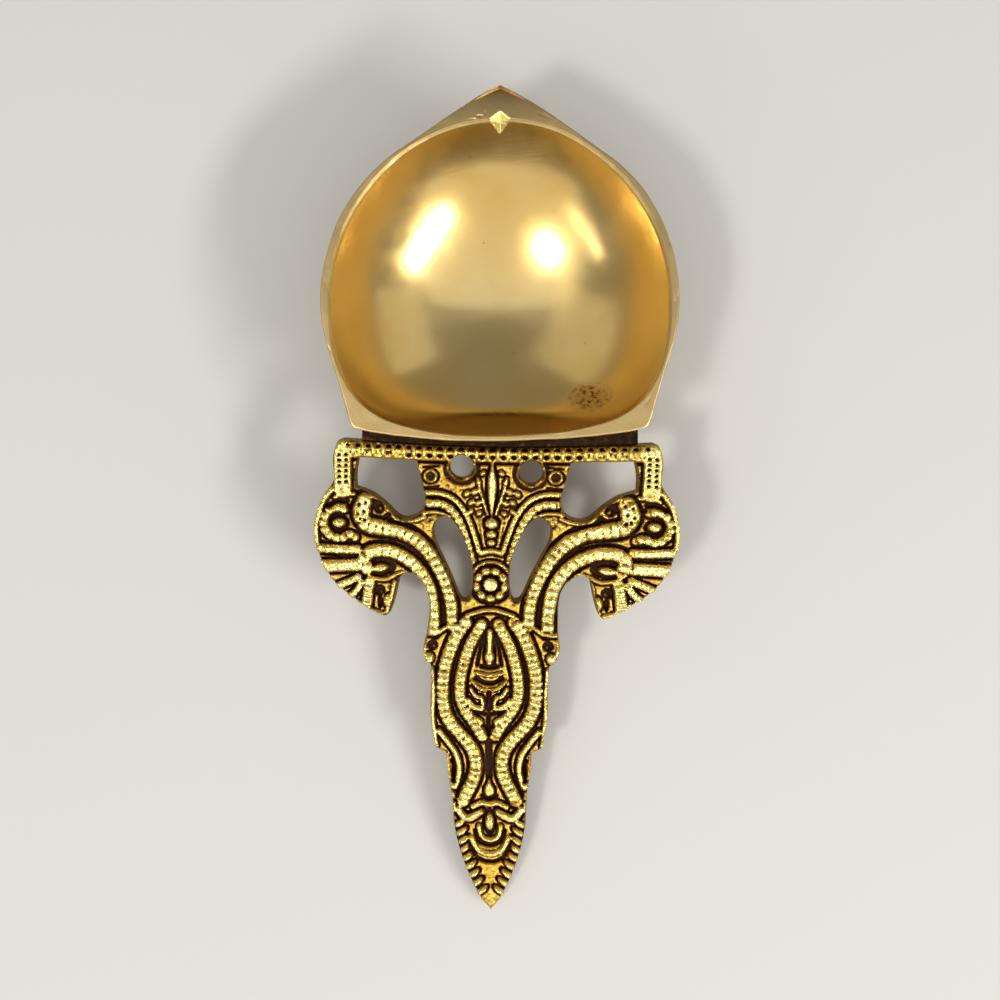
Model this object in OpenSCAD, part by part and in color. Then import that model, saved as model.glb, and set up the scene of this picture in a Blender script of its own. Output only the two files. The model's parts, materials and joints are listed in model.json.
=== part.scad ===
// Cast brass hand diya: an oil bowl with a pointed wick lip and a flat back,
// and a pierced, relief-cast handle that is brazed to the back of the bowl.
// Origin: centre of the bowl's foot, on the table. +Y points to the wick lip, +Z is up.

/* [Bowl] */
// Radius of the bowl's round part at the rim
bowl_r = 33.8; // [30:0.2:38]
// Height of the rim above the table
rim_z = 22; // [20:0.5:26]
// Distance from the bowl's centre to the point of the wick lip
lip_reach = 41.2; // [38:0.2:44]
// Distance from the bowl's centre to the middle of its flat back
back_reach = 27.1; // [25:0.1:29]
// Half-width of the back, corner to centre line
back_half_w = 28; // [26:0.5:30]
// Width of the flat rim at the sides of the bowl
rim_w = 1.6; // [1.2:0.1:3]
// Depth of the hollow below the rim
hollow_d = 19; // [15:0.5:19.5]
// Inward lean of the hollow's back wall, in degrees
back_lean = 22; // [10:1:28]
// Radius of the flat foot
foot_r = 11; // [9:0.5:14]
// Depth of the nick filed in the rim for the wick
nick_d = 1.8; // [1:0.1:2.5]

/* [Handle] */
// Downward slope of the handle, in degrees
handle_slope = 9; // [8:0.5:9.5]
// Sideways lean of the tail, in degrees
handle_lean = 0.95; // [0:0.05:3]
// Sideways offset of the handle's centre line
handle_shift = -0.3; // [-1:0.1:1]
// Thickness of the pierced plate without its relief
plate_t = 3; // [2.4:0.2:3.4]
// Height of the relief above the plate
relief_h = 1; // [0.6:0.1:1.4]
// Diameter of the two drilled holes
hole_d = 4.6; // [3:0.1:5]
// Distance between the drilled holes
hole_gap = 13.4; // [12:0.1:14]
// Sideways offset of the drilled holes from the handle's centre line
hole_shift = -0.3; // [-0.6:0.1:0.6]
// Sideways drift of the pattern's middle, where the mould halves did not meet exactly
cast_drift = 1.1; // [0:0.1:1.2]

/* [Hidden] */
$fn = 64;

rows = 12;            // rings from rim to bottom, on the outside and in the hollow
turns = 72;           // points around each ring
lip_a = 90;           // direction of the lip
lip_blunt = 0.4;      // how far the lip's point is worn back from where its straight sides would meet
corner_y = 25;        // how far behind the centre the back corners lie
corner_swell = 1.3;   // how far the hollow reaches out towards the back corners
back_bow_r = 190;     // radius of the slightly bowed back
outer_lean = 8;       // inward lean of the back wall's outside, in degrees
back_rim_w = 0.8;     // width of the rim at the middle of the back
seat_z = 0.6;         // lowest point of the rounded underside, inside the foot
foot_h = 1.8;         // height of the foot's straight side
file_a = 38;          // slope of the wick nick's bottom line
nick_half_a = 55;     // half the angle between the wick nick's sides
rim_chamfer = 0.4;    // chamfer on the hollow's edge
tail_len = 95.2;      // length of the handle, from the bar to the tip of the tail
joint_y = -27.5;      // where the handle's bar begins
hole_v = [4, 5];      // distance of the left and the right hole from the start of the bar
plate_z = tail_len * sin(handle_slope); // underside of the bar, so that the tail's tip touches the table

corner_a = -atan(corner_y / back_half_w);
corner_reach = norm([back_half_w, corner_y]);

// Circle of radius r drawn out along straight tangents to a point at angle pa and distance pd
function pulled(a, r, pa, pd) =
    let (off = abs(a - pa), span = acos(r / pd)) off < span ? r / cos(span - off) : r;
// Circle of radius r that swells out by b around angle pa
function bulged(a, r, pa, b) = r + b * pow(cos(min(90, 2.6 * abs(a - pa))), 2);
// Distance to the bowed back line whose middle is at distance d
function back_at(a, d) =
    let (c = back_bow_r - d) c * sin(a) + sqrt(pow(c * sin(a), 2) + pow(back_bow_r, 2) - c * c);
// The smaller of two distances, with the corner between them rounded; a higher k is sharper
function blend(p, q, k) = pow(pow(p, -k) + pow(q, -k), -1 / k);
// Radius of a spherical cap of rim radius r and depth d, at depth h below its rim
function cap_r(r, d, h) =
    let (ball = (r * r + d * d) / (2 * d)) sqrt(max(0, ball * ball - pow(ball - d + h, 2)));
// Angles from -180 to 180, and depths that crowd together near the rim
function ring_angle(i) = -180 + i * 360 / turns;
function step_depth(j, d) = d * sin(90 * j / rows);

// Outside of the bowl at angle a and depth h; the lip and the corners fade out downwards
function outer_r(a, h) =
    let (d = rim_z - seat_z,
         fade = pow(1 - h / d, 1.4),
         side = max(pulled(a, bowl_r, lip_a, lip_reach),
                    pulled(a, bowl_r, corner_a, corner_reach),
                    pulled(a, bowl_r, -180 - corner_a, corner_reach)),
         body = (bowl_r + (side - bowl_r) * fade) * cap_r(bowl_r, d, h) / bowl_r,
         tip = abs(a - lip_a) < 60 ? (lip_reach - lip_blunt) / cos(a - lip_a) : 2 * lip_reach)
    h >= d ? 0 : blend(blend(body, tip, 60), back_at(a, back_reach - h * tan(outer_lean)), 40);

// Inside of the hollow at angle a and depth h, meeting its leaning back wall in a crease
function inner_r(a, h) =
    let (r = bowl_r - rim_w,
         side = max(bulged(a, r, corner_a + 8, corner_swell), bulged(a, r, -188 - corner_a, corner_swell)),
         body = side * cap_r(r, hollow_d, h) / r)
    h >= hollow_d ? 0 : blend(body, back_at(a, back_reach - back_rim_w - h * tan(back_lean)), 11 + 4 * h);

function ring(r_of_a, z) =
    [for (i = [0:turns - 1]) let (a = ring_angle(i)) [r_of_a[i] * cos(a), r_of_a[i] * sin(a), z]];
function outer_ring(h) = ring([for (i = [0:turns - 1]) outer_r(ring_angle(i), h)], rim_z - h);
function inner_ring(h, grow = 0) = ring([for (i = [0:turns - 1]) inner_r(ring_angle(i), h) + grow], rim_z - h);

// Closed skin through a stack of rings, ending in a single point at both ends
module skin(start, rings, end) {
    n = turns;
    m = len(rings);
    points = concat([start], [for (r = rings) each r], [end]);
    last = len(points) - 1;
    faces = concat(
        [for (i = [0:n - 1]) [0, 1 + i, 1 + (i + 1) % n]],
        [for (j = [0:m - 2], i = [0:n - 1], half = [0, 1])
            let (p = 1 + j * n + i, q = 1 + j * n + (i + 1) % n)
            half == 0 ? [p, p + n, q] : [q, p + n, q + n]],
        [for (i = [0:n - 1]) [last, 1 + (m - 1) * n + (i + 1) % n, 1 + (m - 1) * n + i]]);
    polyhedron(points, faces);
}

// Cast bowl: rounded shell, flat rim, foot and wick nick
module bowl() {
    underside = [0, 0, seat_z];
    floor_point = [0, 0, rim_z - hollow_d];
    outer = [for (j = [rows - 1:-1:0]) outer_ring(step_depth(j, rim_z - seat_z))];
    lip = [inner_ring(0, rim_chamfer)];
    inner = [for (j = [1:rows - 1]) inner_ring(step_depth(j, hollow_d))];
    rim_edge = [ring([for (i = [0:turns - 1]) inner_r(ring_angle(i), 0)], rim_z - rim_chamfer)];
    color("goldenrod") difference() {
        union() {
            skin(underside, concat(outer, lip, rim_edge, inner), floor_point);
            cylinder(r = foot_r, h = foot_h);
        }
        wick_nick();
    }
}

// V cut filed downwards across the hollow's edge
module wick_nick() {
    translate([0, bowl_r - rim_w + nick_d / tan(file_a), rim_z])
        rotate([90 + file_a, 0, 0])
            linear_extrude(8)
                polygon([[0, 0], [-6, 6 / tan(nick_half_a)], [6, 6 / tan(nick_half_a)]]);
}

// Point on a smooth curve through p1 and p2, at share t of the way
function curve_at(p0, p1, p2, p3, t) =
    0.5 * (2 * p1 + (p2 - p0) * t + (2 * p0 - 5 * p1 + 4 * p2 - p3) * t * t
           + (3 * p1 - p0 - 3 * p2 + p3) * t * t * t);
// Smooth curve through a run of points, with a corner at both ends; its last point is left out
function smooth(p, parts = 3) =
    let (n = len(p) - 1)
    [for (i = [0:n - 1], k = [0:parts - 1])
        curve_at(p[max(i - 1, 0)], p[i], p[i + 1], p[min(i + 2, n)], k / parts)];
// The same through a closed loop of points
function smooth_loop(p, parts = 3) =
    let (n = len(p))
    [for (i = [0:n - 1], k = [0:parts - 1])
        curve_at(p[(i + n - 1) % n], p[i], p[(i + 1) % n], p[(i + 2) % n], k / parts)];
function flipped(p) = [for (i = [len(p) - 1:-1:0]) [-p[i][0], p[i][1]]];

// Round end of a band: three points around the end of its line, on the side of direction d
function round_end(point, d, r) =
    [for (a = [-50, 0, 50]) point + r * (d * cos(a) + [-d[1], d[0]] * sin(-a))];
// Band of width w along a run of points, narrowing to end_w, with round ends
function band(p, w, end_w) =
    let (line = concat(smooth(p), [p[len(p) - 1]]),
         n = len(line) - 1,
         way = [for (i = [0:n]) let (d = line[min(i + 1, n)] - line[max(i - 1, 0)]) d / norm(d)],
         half = [for (i = [0:n]) (w + (end_w - w) * i / n) / 2])
    concat([for (i = [0:n]) line[i] + half[i] * [-way[i][1], way[i][0]]],
           round_end(line[n], way[n], half[n]),
           [for (i = [n:-1:0]) line[i] - half[i] * [-way[i][1], way[i][0]]],
           round_end(line[0], -way[0], half[0]));

// Half of the handle's outline: [distance across, distance along the handle from its bar]
HALF_OUTLINE = concat(
    smooth([[0, 0.1], [15, -0.3], [29.8, -1]]),                                           // top of the bar
    smooth([[29.8, -1], [31.3, -0.1], [32.1, 3], [31.8, 6.4], [32.4, 8.2]]),              // side post
    smooth([[32.4, 8.2], [34.5, 11.4], [35.7, 16], [35.3, 20], [33.8, 24.2], [30.9, 28.2],
            [25.5, 32], [21.7, 33.9]]),                                                   // wing
    smooth([[21.7, 33.9], [20.6, 33.5], [19.6, 30.8], [18.6, 26.3]]),                     // wing tip
    smooth([[18.6, 26.3], [17, 25.2], [15, 26.2], [13.4, 28.6], [12.8, 32], [13, 37],
            [13.6, 40.4], [13.1, 42.6], [11.9, 43.8]]),                                   // arch and knob
    smooth([[11.9, 43.8], [11.7, 48.5], [11.8, 53], [11.5, 57], [10.7, 60.8]]),           // wide tail
    [[10.7, 60.8]],
    smooth([[8.7, 61.6], [8.3, 67], [7.6, 71.5], [7.3, 77.8], [6.1, 83.3], [4.3, 88.4],
            [2.1, 92.8], [0, tail_len]]),                                                 // narrow tail
    [[0, tail_len]]);

// Openings on one side of the handle
WINDOW = concat(
    [[26.6, 2.7]],
    smooth([[15, 3.2], [14.1, 7.3], [13.3, 10.3], [14, 13], [16.5, 14.2], [18.5, 13.7],
            [20.8, 11.6], [23.9, 9.4], [27.1, 8.3]]),
    [[27.1, 8.3], [27.1, 5.5]]);
SLOT = smooth_loop([[9.6, 14], [11.3, 15.8], [11, 18.8], [9.2, 22.5], [7.3, 26.6], [5.8, 30],
                    [4.3, 30], [3.7, 26.5], [4.1, 22], [5.7, 17.7], [8, 14.6]]);

// Points of the pattern, moved sideways near its middle by that share of the casting's drift
function drifted(points, share = 1) = [for (p = points)
    [p[0] - share * cast_drift * max(0, 1 - pow(p[0] / 30, 2)) * min(1, (tail_len - p[1]) / 40), p[1]]];

// Centre lines of the raised straps on one side, and the pearls they curl around
UPPER_STRAP = [[24.4, 11.8], [26, 13.4], [25, 15.8], [21.5, 16.8], [17.5, 17.8], [14, 20.2], [11.3, 24],
               [9.4, 28.5], [8.8, 33.5]];
LOWER_STRAP = [[24.8, 24.6], [24.6, 22.6], [22, 21.2], [18.4, 21.6], [15, 23.6], [12, 27.4], [11.2, 32],
               [11.2, 40]];
TAIL_STRAP = [[3.6, 34.3], [6.3, 39], [8.1, 43.6], [9.2, 48.7], [9, 53.4], [6.5, 57.5], [3.2, 61.4],
              [2.4, 64.4], [3.4, 67.8], [4.8, 72.2]];
PEARLS = [[22.2, 24, 1.3], [30.1, 15.2, 1.4]];
BOSS_V = 27;        // distance of the central boss from the start of the bar
bar_w = 2.6;          // width of the raised bar
strap_w = 2.2;        // width of the raised straps
seam_low = 0.5;       // how far the brazing metal stays below the plate's two faces
seam_bite = 1.4;      // how far it reaches past the faces that it joins
sunk = 0.5;           // how far the relief runs down into the plate

// One side's outline drawn on both sides of the handle, with the casting's drift
module both_sides(points) {
    polygon(drifted(points));
    polygon(drifted(flipped(points)));
}
// A flat shape drawn as [across, along], turned so that the handle runs towards -Y
module along_handle() {
    mirror([0, 1]) children();
}
// Moves a shape from the handle's own flat frame to its place behind the bowl
module placed() {
    translate([handle_shift, joint_y, plate_z])
        rotate([handle_slope, 0, 0])
            rotate([0, 0, -handle_lean])
                children();
}
module relief() {
    translate([0, 0, plate_t - sunk])
        linear_extrude(relief_h + sunk)
            along_handle() children();
}

// Pierced plate with its raised bar, straps, boss and pearls, and two drilled holes
module handle_plate() {
    color("darkgoldenrod") placed() difference() {
        union() {
            linear_extrude(plate_t) along_handle() difference() {
                polygon(drifted(concat(HALF_OUTLINE, flipped(HALF_OUTLINE)), 0.4));
                both_sides(WINDOW);
                both_sides(SLOT);
            }
            relief() polygon(band([[-29.8, 0.6], [-15, 1.2], [0, 1.5], [15, 1.2], [29.8, 0.6]], bar_w, bar_w));
            relief() both_sides(band([[29.7, 0.6], [29.7, 7.4]], 3.4, 3));
            relief() both_sides(band(UPPER_STRAP, strap_w, strap_w));
            relief() both_sides(band(LOWER_STRAP, strap_w, strap_w));
            relief() both_sides(band(TAIL_STRAP, strap_w, strap_w * 0.8));
            translate([-cast_drift, -BOSS_V, plate_t - sunk]) cylinder(r = 3.6, h = relief_h + sunk);
            for (pearl = PEARLS, side = [-1, 1])
                translate([side * pearl[0], -pearl[1], plate_t]) sphere(r = pearl[2]);
        }
        for (i = [0, 1])
            translate([(i - 0.5) * hole_gap + hole_shift, -hole_v[i], -1]) cylinder(d = hole_d, h = plate_t + relief_h + 2);
    }
}

// Brazing metal that fills the gap between the bowl's back and the bar, kept below both
module braze_seam() {
    half_l = back_half_w - 1.5;
    bowl_side = [for (x = [-half_l:half_l / 6:half_l]) [x, x * x / (2 * back_bow_r) - back_reach + seam_bite]];
    color("saddlebrown") difference() {
        translate([0, 0, plate_z + seam_low])
            linear_extrude(plate_t - 2 * seam_low)
                polygon(concat(bowl_side, [[half_l, joint_y - seam_bite], [-half_l, joint_y - seam_bite]]));
        bowl();
        handle_plate();
    }
}

bowl();
handle_plate();
braze_seam();
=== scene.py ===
import json
import math

import bmesh
import bpy
import numpy as np
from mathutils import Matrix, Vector
from mathutils.geometry import delaunay_2d_cdt


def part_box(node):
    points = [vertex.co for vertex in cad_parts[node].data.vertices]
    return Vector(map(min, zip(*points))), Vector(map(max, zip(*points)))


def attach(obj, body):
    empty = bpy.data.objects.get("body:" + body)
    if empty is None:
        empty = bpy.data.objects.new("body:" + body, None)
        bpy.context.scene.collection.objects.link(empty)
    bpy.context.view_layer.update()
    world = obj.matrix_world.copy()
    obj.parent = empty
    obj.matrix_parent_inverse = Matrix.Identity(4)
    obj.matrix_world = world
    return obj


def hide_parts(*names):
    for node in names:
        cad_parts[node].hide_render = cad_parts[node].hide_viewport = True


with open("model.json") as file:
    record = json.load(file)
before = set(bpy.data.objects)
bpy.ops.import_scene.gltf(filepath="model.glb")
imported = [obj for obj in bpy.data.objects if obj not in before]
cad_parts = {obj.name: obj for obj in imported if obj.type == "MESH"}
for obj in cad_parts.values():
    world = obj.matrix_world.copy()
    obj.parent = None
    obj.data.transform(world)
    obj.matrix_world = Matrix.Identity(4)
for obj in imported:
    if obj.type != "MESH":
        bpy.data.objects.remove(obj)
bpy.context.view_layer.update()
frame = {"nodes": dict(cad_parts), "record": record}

MM = 0.001


# ---- Oil bowl ----------------------------------------------------------------------------------------
# One heavy brass casting: round hollow, flat filed rim that runs out into the wick lip, and a flat back.
# The hollow was polished with a felt bob, which left fine curved scratches; the rim was filed by hand.
bowl_low, bowl_high = (np.array(corner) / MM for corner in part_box("bowl"))
BOWL_R = (bowl_high[0] - bowl_low[0]) / 2
LIP_REACH = 41.2
BACK_REACH = -bowl_low[1]
RIM_Z = bowl_high[2]
BACK_HALF_W = 28.0
CORNER_BACK = 25.0
BACK_BOW_R = 190.0
RIM_W = 1.6
BACK_RIM_W = 0.8
HOLLOW_D = 19.0
BACK_LEAN = 22.0
OUTER_LEAN = 8.0
UNDERSIDE_Z = 0.6
FOOT_R = 11.0
FOOT_H = 1.8
RIM_ROUNDING = 0.35
RIM_CHAMFER = 0.22
LIP_BLUNT = 0.4
CORNER_SWELL = 1.3
LIP_SWELL = 1.4
NICK_D = 1.6
NICK_SLOPE = math.tan(math.radians(38))
NICK_FLANK = math.tan(math.radians(55))
CORNER_A = -math.degrees(math.atan2(CORNER_BACK, BACK_HALF_W))


def pulled(a, r, to_a, to_r):
    """Circle of radius r drawn out along straight tangents to one point."""
    off = np.abs(a - to_a)
    span = math.degrees(math.acos(r / to_r))
    return np.where(off < span, r / np.cos(np.radians(np.clip(span - off, 0, 89))), r)


def bulged(a, r, to_a, swell, taper=2.6):
    """Circle of radius r that swells out round one angle."""
    return r + swell * np.cos(np.radians(np.minimum(90, taper * np.abs(a - to_a)))) ** 2


def back_at(a, reach):
    """Distance to the slightly bowed back line."""
    centre = BACK_BOW_R - reach
    s = centre * np.sin(np.radians(a))
    return s + np.sqrt(s ** 2 + BACK_BOW_R ** 2 - centre ** 2)


def blend_min(p, q, sharpness):
    return (p ** -sharpness + q ** -sharpness) ** (-1 / sharpness)


def cap_r(r, d, h):
    """Radius of a spherical cap of rim radius r and depth d, at depth h."""
    ball = (r * r + d * d) / (2 * d)
    return np.sqrt(np.maximum(0, ball ** 2 - (ball - d + h) ** 2))


def outer_r(a, h):
    d = RIM_Z - UNDERSIDE_Z
    fade = (1 - h / d) ** 1.4
    corner_r = math.hypot(BACK_HALF_W, CORNER_BACK)
    side = np.maximum(pulled(a, BOWL_R, 90, LIP_REACH), pulled(a, BOWL_R, CORNER_A, corner_r))
    side = np.maximum(side, pulled(a, BOWL_R, -180 - CORNER_A, corner_r))
    body = (BOWL_R + (side - BOWL_R) * fade) * cap_r(BOWL_R, d, h) / BOWL_R
    tip = (LIP_REACH - LIP_BLUNT) / np.cos(np.radians(np.clip(np.abs(a - 90), 0, 60)))
    body = blend_min(np.maximum(body, 1e-3), tip, 60)
    back = back_at(a, BACK_REACH - h * math.tan(math.radians(OUTER_LEAN)))
    return blend_min(body, back, 40)


def inner_r(a, h):
    r = BOWL_R - RIM_W
    side = np.maximum(bulged(a, r, CORNER_A + 8, CORNER_SWELL), bulged(a, r, -188 - CORNER_A, CORNER_SWELL))
    side = np.maximum(side, bulged(a, r, 90, LIP_SWELL, 1.4))
    body = side * cap_r(r, HOLLOW_D, h) / r
    back = back_at(a, BACK_REACH - BACK_RIM_W - h * math.tan(math.radians(BACK_LEAN)))
    return blend_min(np.maximum(body, 1e-3), back, 11 + 4 * h)


def value_noise(points, cell, seed):
    """Smooth random values from -1 to 1 at 3-D points, on a lattice of that cell size."""
    lattice = np.random.default_rng(seed).uniform(-1, 1, (17, 17, 17))
    q = points / cell + 1000.0
    base = np.floor(q).astype(int)
    f = q - base
    f = f * f * (3 - 2 * f)
    total = np.zeros(len(points))
    for dx in (0, 1):
        for dy in (0, 1):
            for dz in (0, 1):
                weight = np.abs(1 - dx - f[:, 0]) * np.abs(1 - dy - f[:, 1]) * np.abs(1 - dz - f[:, 2])
                corner = lattice[(base[:, 0] + dx) % 17, (base[:, 1] + dy) % 17, (base[:, 2] + dz) % 17]
                total += weight * corner
    return total


def ring_points(a, r, z):
    return np.stack([r * np.cos(np.radians(a)), r * np.sin(np.radians(a)), z + 0 * a], 1)


def lofted(rings, first, last):
    """Faces through equal rings of points, closed by a point at both ends."""
    n = len(rings[0])
    points = np.concatenate([[first], *rings, [last]])
    end = len(points) - 1
    faces = [(0, 1 + (i + 1) % n, 1 + i) for i in range(n)]
    for j in range(len(rings) - 1):
        p = 1 + j * n
        faces += [(p + i, p + (i + 1) % n, p + n + (i + 1) % n, p + n + i) for i in range(n)]
    p = 1 + (len(rings) - 1) * n
    faces += [(end, p + i, p + (i + 1) % n) for i in range(n)]
    return points, faces


def piece(name, points_mm, faces, material, crease_deg, masks):
    """A mesh object in the shared frame, riding on the lamp's one body, with its masks on the points."""
    mesh = bpy.data.meshes.new(name)
    mesh.from_pydata((np.asarray(points_mm) * MM).tolist(), [], [tuple(map(int, f)) for f in faces])
    for mask, values in masks.items():
        layer = mesh.attributes.new(mask, "FLOAT", "POINT")
        layer.data.foreach_set("value", np.clip(values, 0, 1).astype(np.float32))
    work = bmesh.new()
    work.from_mesh(mesh)
    bmesh.ops.recalc_face_normals(work, faces=work.faces)
    work.to_mesh(mesh)
    work.free()
    mesh.shade_smooth()
    mesh.set_sharp_from_angle(angle=math.radians(crease_deg))
    mesh.materials.append(material)
    made = bpy.data.objects.new(name, mesh)
    bpy.context.scene.collection.objects.link(made)
    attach(made, "root")
    return made


def linear(hex_colour):
    """An sRGB hex colour as the linear RGBA that the shader nodes take."""
    channels = [int(hex_colour[i:i + 2], 16) / 255 for i in (1, 3, 5)]
    return [c / 12.92 if c <= 0.04045 else ((c + 0.055) / 1.055) ** 2.4 for c in channels] + [1.0]


def add_node(material, kind, settings, output=0):
    """Adds a node and gives one of its outputs. Settings are its properties, values, colours or links."""
    tree = material.node_tree
    node = tree.nodes.new("ShaderNode" + kind)
    for key, value in settings.items():
        if key == "stops":
            elements = node.color_ramp.elements
            elements.remove(elements[-1])
            for i, (position, colour) in enumerate(value):
                stop = elements.new(position) if i else elements[0]
                stop.position = position
                stop.color = linear(colour) if isinstance(colour, str) else (colour, colour, colour, 1)
        elif isinstance(value, bpy.types.NodeSocket):
            tree.links.new(value, node.inputs[key])
        elif isinstance(key, str) and key not in node.inputs:
            setattr(node, key, value)
        else:
            node.inputs[key].default_value = linear(value) if isinstance(value, str) else value
    return node.outputs[output]


def finish(name, metallic):
    """A new material, its shader, and the place on the object in metres."""
    material = bpy.data.materials.new(name)
    material.use_nodes = True
    shader = material.node_tree.nodes["Principled BSDF"]
    shader.inputs["Metallic"].default_value = metallic
    return material, shader, add_node(material, "TexCoord", {}, "Object")


def felt_polished_brass():
    """Cast brass, polished with a felt bob: pale gold, fine curved scratches, tarnish clouds, casting pits.
    The filed rim is matt and greyer, because the file left it open to the air."""
    material, shader, where = finish("felt_polished_cast_brass", 1.0)
    masks = {mask: add_node(material, "Attribute", {"attribute_name": mask}, "Fac")
             for mask in ("depth", "stain", "painted_crease_shade", "rim", "painted_lip_shade", "notch")}
    cloud = add_node(material, "TexNoise", {"Scale": 1 / (14 * MM), "Detail": 3.0, "Vector": where})
    speck = add_node(material, "TexNoise", {"Scale": 1 / (0.9 * MM), "Detail": 4.0, "Roughness": 0.65,
                                            "Vector": where})
    # painted reflection: the hollow's colour grows paler towards its bottom, standing in for the brighter
    # reflection there
    tone = add_node(material, "ValToRGB", {"Fac": masks["depth"], "stops": [
        (0.0, "#DABC78"), (0.35, "#DCBD7A"), (0.7, "#DEC07C"), (1.0, "#E0C68A")]})
    tarnish = add_node(material, "ValToRGB", {"Fac": cloud, "stops": [(0.42, 0.0), (0.75, 0.45)]})
    tone = add_node(material, "Mix", {"data_type": "RGBA", 0: tarnish, 6: tone, 7: "#C69C48"}, 2)
    # pores of the casting, 0.1 to 0.3 mm wide, that the bob left open
    pores = add_node(material, "TexVoronoi", {"Scale": 1 / (3.2 * MM), "Vector": where}, "Distance")
    pores = add_node(material, "MapRange", {"Value": pores, "From Min": 0.03, "From Max": 0.07,
                                            "To Min": 0.8, "To Max": 0.0})
    sparse = add_node(material, "ValToRGB", {"Fac": cloud, "stops": [(0.50, 0.0), (0.60, 1.0)]})
    pores = add_node(material, "Math", {"operation": "MULTIPLY", 0: pores, 1: sparse})
    tone = add_node(material, "Mix", {"data_type": "RGBA", 0: pores, 6: tone, 7: "#4A3010"}, 2)
    veil = add_node(material, "Math", {"operation": "MULTIPLY", 0: masks["stain"], 1: 0.65})
    tone = add_node(material, "Mix", {"data_type": "RGBA", 0: veil, 6: tone, 7: "#B08A3A"}, 2)
    pits = add_node(material, "ValToRGB", {"Fac": speck, "stops": [(0.50, 0.0), (0.58, 1.0)]})
    patch = add_node(material, "Math", {"operation": "MULTIPLY", 0: masks["stain"], 1: pits})
    tone = add_node(material, "Mix", {"data_type": "RGBA", 0: patch, 6: tone, 7: "#6A4510"}, 2)
    # painted shade in the crease and on the back wall, broken up by speckle
    speckled_crease_shade = add_node(material, "MapRange", {"Value": speck, "From Min": 0.35, "From Max": 0.6,
                                            "To Min": 0.5, "To Max": 1.0})
    speckled_crease_shade = add_node(material, "Math", {"operation": "MULTIPLY", 0: masks["painted_crease_shade"], 1: speckled_crease_shade})
    tone = add_node(material, "Mix", {"data_type": "RGBA", 0: speckled_crease_shade, 6: tone, 7: "#4A2C0C"}, 2)
    tone = add_node(material, "Mix", {"data_type": "RGBA", 0: masks["rim"], 6: tone, 7: "#C9AE78"}, 2)
    # painted shade and dark reflection: the rim darkens towards the point of the lip, which turns down away
    # from the light
    tone = add_node(material, "Mix", {"data_type": "RGBA", 0: masks["painted_lip_shade"], 6: tone, 7: "#7A5424"}, 2)
    tone = add_node(material, "Mix", {"data_type": "RGBA", 0: masks["notch"], 6: tone, 7: "#F2DC8A"}, 2)
    material.node_tree.links.new(tone, shader.inputs["Base Color"])
    # scratches: noise along rings around a point off to one side of the hollow
    bob = add_node(material, "Mapping", {"Vector": where, "Location": (-0.012, 0.05, 0.0)})
    radius = add_node(material, "VectorMath", {"operation": "LENGTH", 0: bob}, "Value")
    rings = add_node(material, "TexNoise", {"noise_dimensions": "1D", "Scale": 1 / (0.5 * MM), "Detail": 4.0,
                                            "W": radius})
    breakup = add_node(material, "TexNoise", {"Scale": 1 / (7 * MM), "Detail": 2.0, "Vector": where})
    patchy = add_node(material, "ValToRGB", {"Fac": breakup, "stops": [(0.5, 0.0), (0.7, 1.0)]})
    rings = add_node(material, "Math", {"operation": "SUBTRACT", 0: rings, 1: 0.5})
    scratch = add_node(material, "Math", {"operation": "MULTIPLY", 0: rings, 1: patchy})
    rough = add_node(material, "MapRange", {"Value": breakup, "From Min": 0.3, "From Max": 0.7,
                                            "To Min": 0.18, "To Max": 0.26})
    rough = add_node(material, "Math", {"operation": "MULTIPLY_ADD", 0: masks["stain"], 1: 0.15, 2: rough})
    rough = add_node(material, "Math", {"operation": "MULTIPLY_ADD", 0: masks["rim"], 1: 0.18, 2: rough})
    material.node_tree.links.new(rough, shader.inputs["Roughness"])
    bump = add_node(material, "Bump", {"Strength": 0.35, "Distance": 0.05 * MM, "Height": scratch})
    filed = add_node(material, "Math", {"operation": "MAXIMUM", 0: masks["rim"], 1: masks["notch"]})
    filed = add_node(material, "Math", {"operation": "MULTIPLY", 0: filed, 1: speck})
    bump = add_node(material, "Bump", {"Strength": 0.35, "Distance": 0.15 * MM, "Height": filed,
                                       "Normal": bump})
    bump = add_node(material, "Bump", {"Strength": 0.6, "Distance": 0.15 * MM, "invert": True,
                                       "Height": patch, "Normal": bump})
    material.node_tree.links.new(bump, shader.inputs["Normal"])
    return material


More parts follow.
